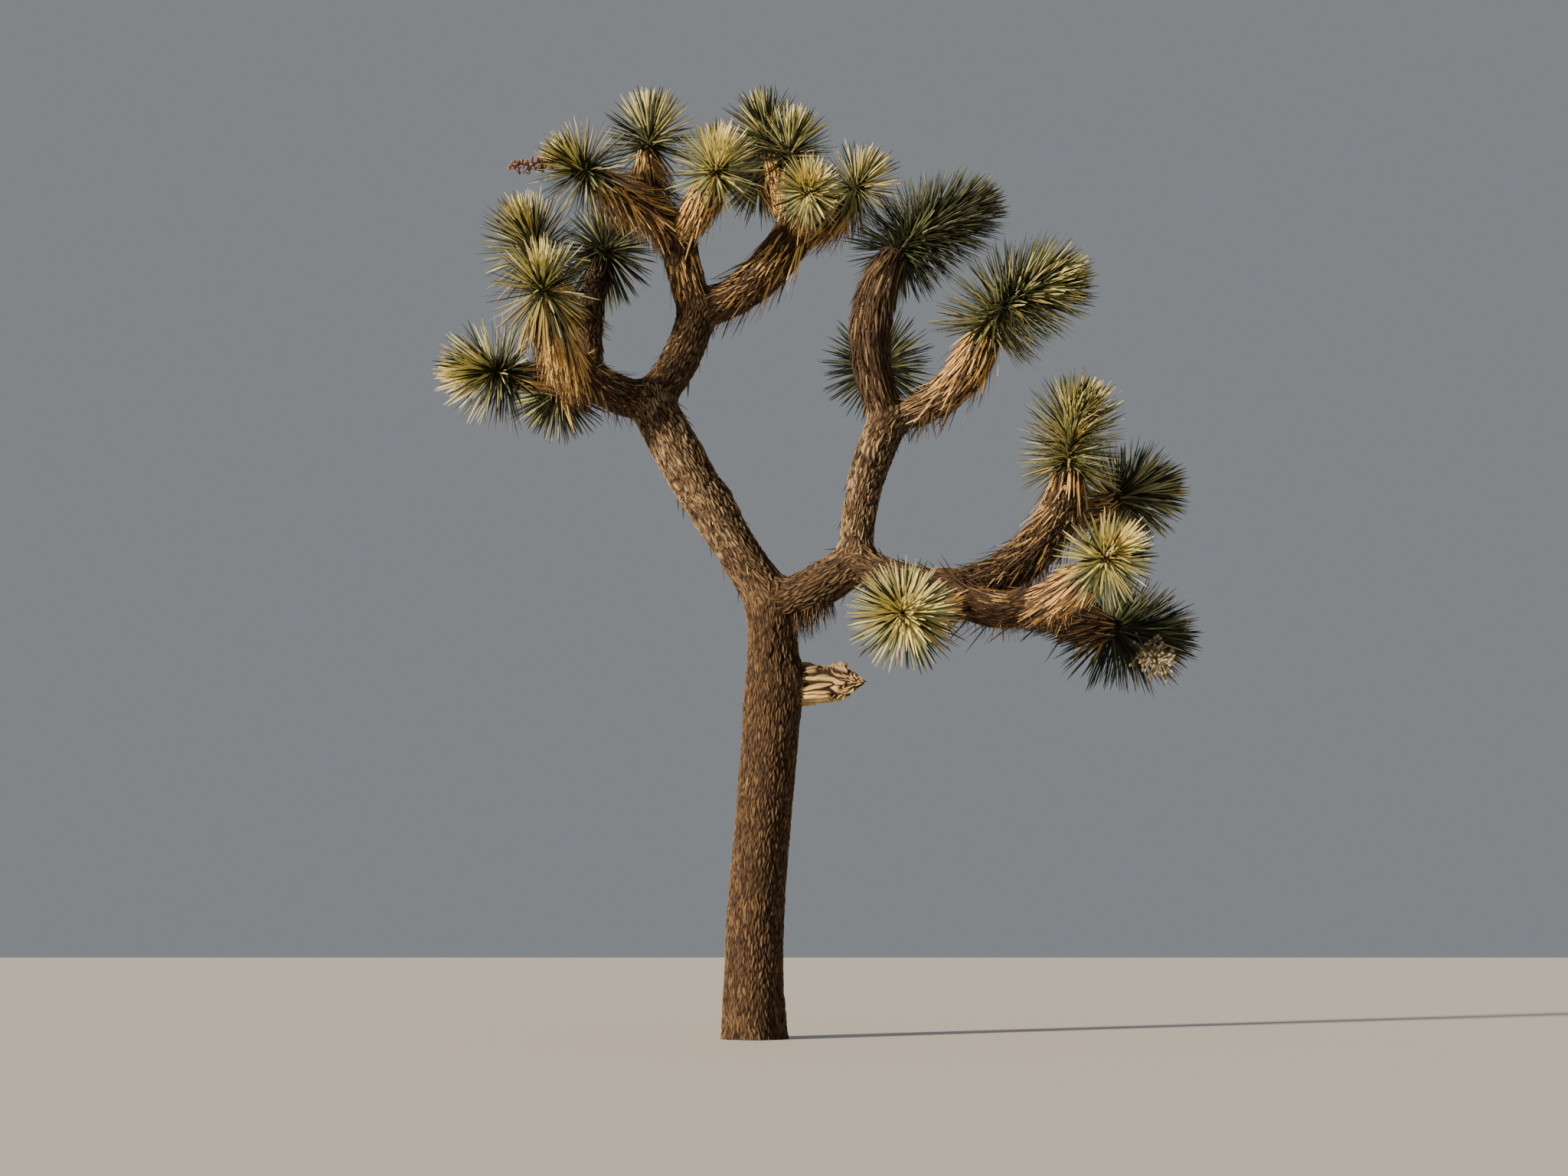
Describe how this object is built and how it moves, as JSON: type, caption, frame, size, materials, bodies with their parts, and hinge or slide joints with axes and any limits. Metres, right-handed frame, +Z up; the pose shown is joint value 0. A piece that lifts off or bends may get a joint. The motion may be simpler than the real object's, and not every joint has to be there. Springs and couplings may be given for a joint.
{
  "type": "joshua tree",
  "caption": "Branching desert yucca tree with a thick bark-clad trunk, bowed arms in dead-leaf thatch and round tufts of dagger leaves.",
  "frame": {"origin": "middle of the flat cut under the trunk, at ground level", "axes": "+X to the right as the tree is seen in the picture, +Y away from the viewer, +Z up"},
  "size_m": [4.132, 2.3565, 5.3495],
  "materials": {
    "bark": "rough furrowed grey-brown bark",
    "thatch": "matt straw-coloured layer of dead hanging leaves",
    "dead_wood": "dry weathered grooved wood",
    "leaves": "stiff waxy yellow-green to grey-green dagger leaves"
  },
  "bodies": {
    "root": {"trunk": "bark", "bough_left": "bark", "arm_left": "bark", "arm_left_riser": "bark", "bough_middle": "bark", "arm_middle_left": "bark", "arm_middle_right": "bark", "bough_right": "bark", "bough_upper": "bark", "bough_lower": "bark", "arm_lower_riser": "bark", "arm_lower": "bark", "stem_left_low": "thatch", "stem_left_front": "thatch", "stem_left_top": "thatch", "stem_left_rear": "thatch", "stem_left_under": "thatch", "stem_middle_west": "thatch", "stem_middle_top": "thatch", "stem_middle_east": "thatch", "stem_crown_high": "thatch", "stem_crown_side": "thatch", "stem_crown_front": "thatch", "stem_crown_east": "thatch", "stem_crown_rear": "thatch", "stem_upper": "thatch", "stem_upper_rear": "thatch", "stem_upper_outer": "thatch", "stem_riser_top": "thatch", "stem_riser_east": "thatch", "stem_lower_front": "thatch", "stem_lower_east": "thatch", "stem_lower_near": "thatch", "dead_stub": "dead_wood", "leaves_left_low": "leaves", "leaves_left_front": "leaves", "leaves_left_top": "leaves", "leaves_left_rear": "leaves", "leaves_left_under": "leaves", "leaves_middle_west": "leaves", "leaves_middle_top": "leaves", "leaves_middle_east": "leaves", "leaves_crown_high": "leaves", "leaves_crown_side": "leaves", "leaves_crown_front": "leaves", "leaves_crown_east": "leaves", "leaves_crown_rear": "leaves", "leaves_upper": "leaves", "leaves_upper_rear": "leaves", "leaves_upper_outer": "leaves", "leaves_riser_top": "leaves", "leaves_riser_east": "leaves", "leaves_lower_front": "leaves", "leaves_lower_east": "leaves", "leaves_lower_near": "leaves"}
  },
  "joints": []
}
